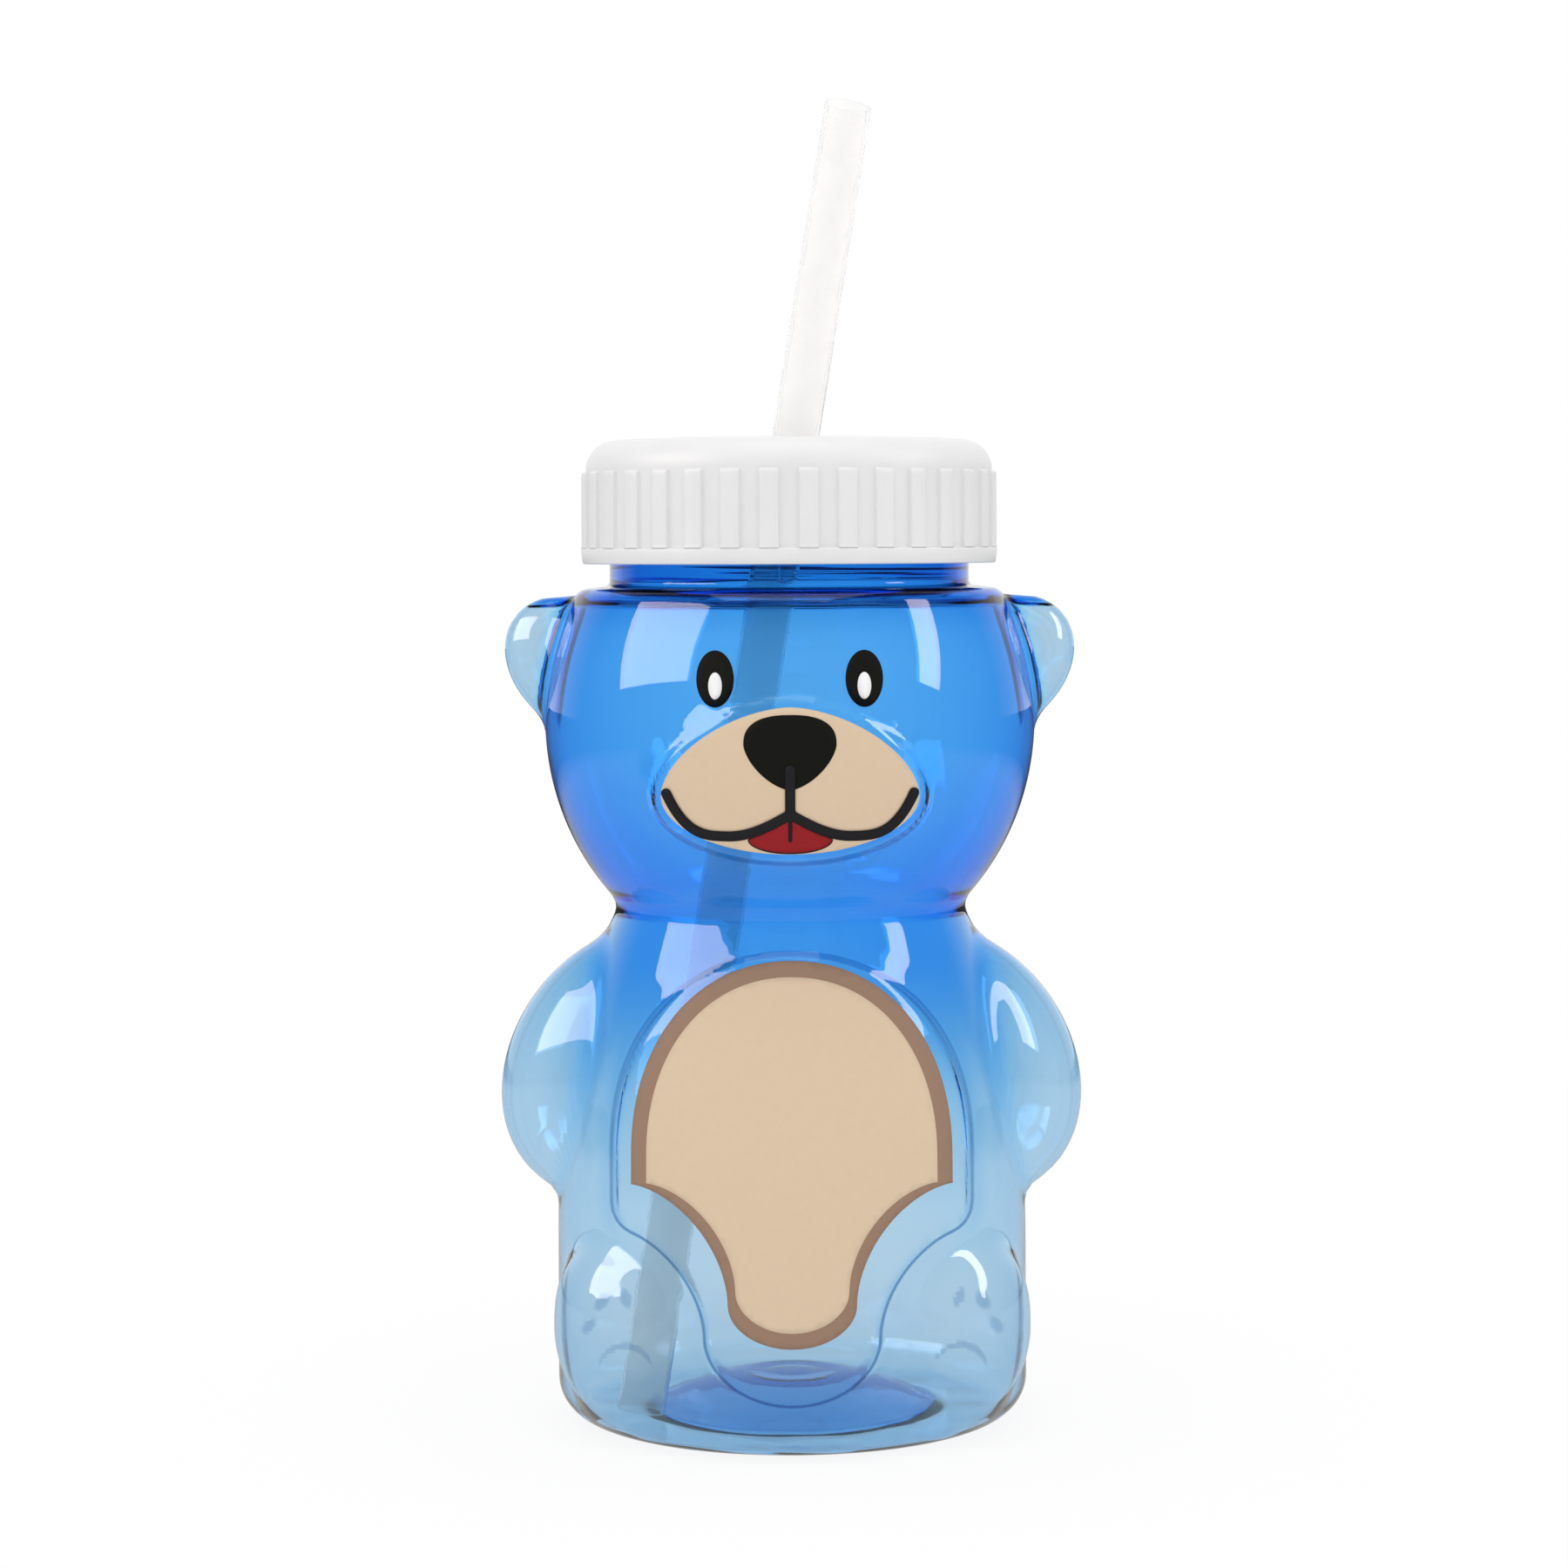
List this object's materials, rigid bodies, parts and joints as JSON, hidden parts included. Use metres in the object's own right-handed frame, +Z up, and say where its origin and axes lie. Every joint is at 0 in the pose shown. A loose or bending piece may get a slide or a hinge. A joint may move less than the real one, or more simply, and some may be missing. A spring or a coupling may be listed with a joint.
{
  "type": "straw bottle",
  "caption": "Clear blue plastic drinking bottle in the form of a sitting bear, with a ribbed white screw lid and a straw that stands aslant through it.",
  "frame": {"origin": "on the surface that the bottle stands on, on the axis that the neck, the lid and the standing ring share", "axes": "+Z up along the bottle's axis, the face and the belly look along -Y, +X to the viewer's right when looking at the face"},
  "size_m": [0.0894, 0.0774, 0.2026],
  "materials": {
    "blue_clear_plastic": "clear, glossy, blue tint",
    "white_plastic": "semi-gloss moulded white",
    "soft_white_seal": "matt soft foam",
    "white_straw_plastic": "satin translucent white",
    "tan_print": "satin printed ink",
    "brown_print": "satin printed ink",
    "black_print": "satin printed ink",
    "dark_print": "satin printed ink",
    "red_print": "satin printed ink",
    "white_print": "satin printed ink"
  },
  "bodies": {
    "bottle": {"bottle_body": "blue_clear_plastic", "eye_print_left": "black_print", "eye_print_right": "black_print", "eye_glint_left": "white_print", "eye_glint_right": "white_print", "muzzle_print": "tan_print", "nose_print": "black_print", "mouth_print": "dark_print", "tongue_print": "red_print", "belly_border_print": "brown_print", "belly_print": "tan_print"},
    "seal": {"lid_gasket": "soft_white_seal"},
    "lid": {"screw_lid": "white_plastic"},
    "straw": {"drinking_straw": "white_straw_plastic"}
  },
  "joints": [
    {"name": "lid_lift", "type": "slide", "parent": "bottle", "child": "seal", "axis": [0, 0, 1], "range_m": [0, 0.00405]},
    {"name": "lid_turn", "type": "hinge", "parent": "seal", "child": "lid", "pos_m": [0, 0, 0.1469], "axis": [0, 0, 1], "range_deg": [0, 450]},
    {"name": "straw_slide", "type": "slide", "parent": "lid", "child": "straw", "axis": [0.1602, 0.0852, 0.9834], "range_m": [0, 0.145]}
  ],
  "couplings": [
    {"joint": "lid_lift", "follows": "lid_turn", "m_per_rad": 0.0005093}
  ]
}
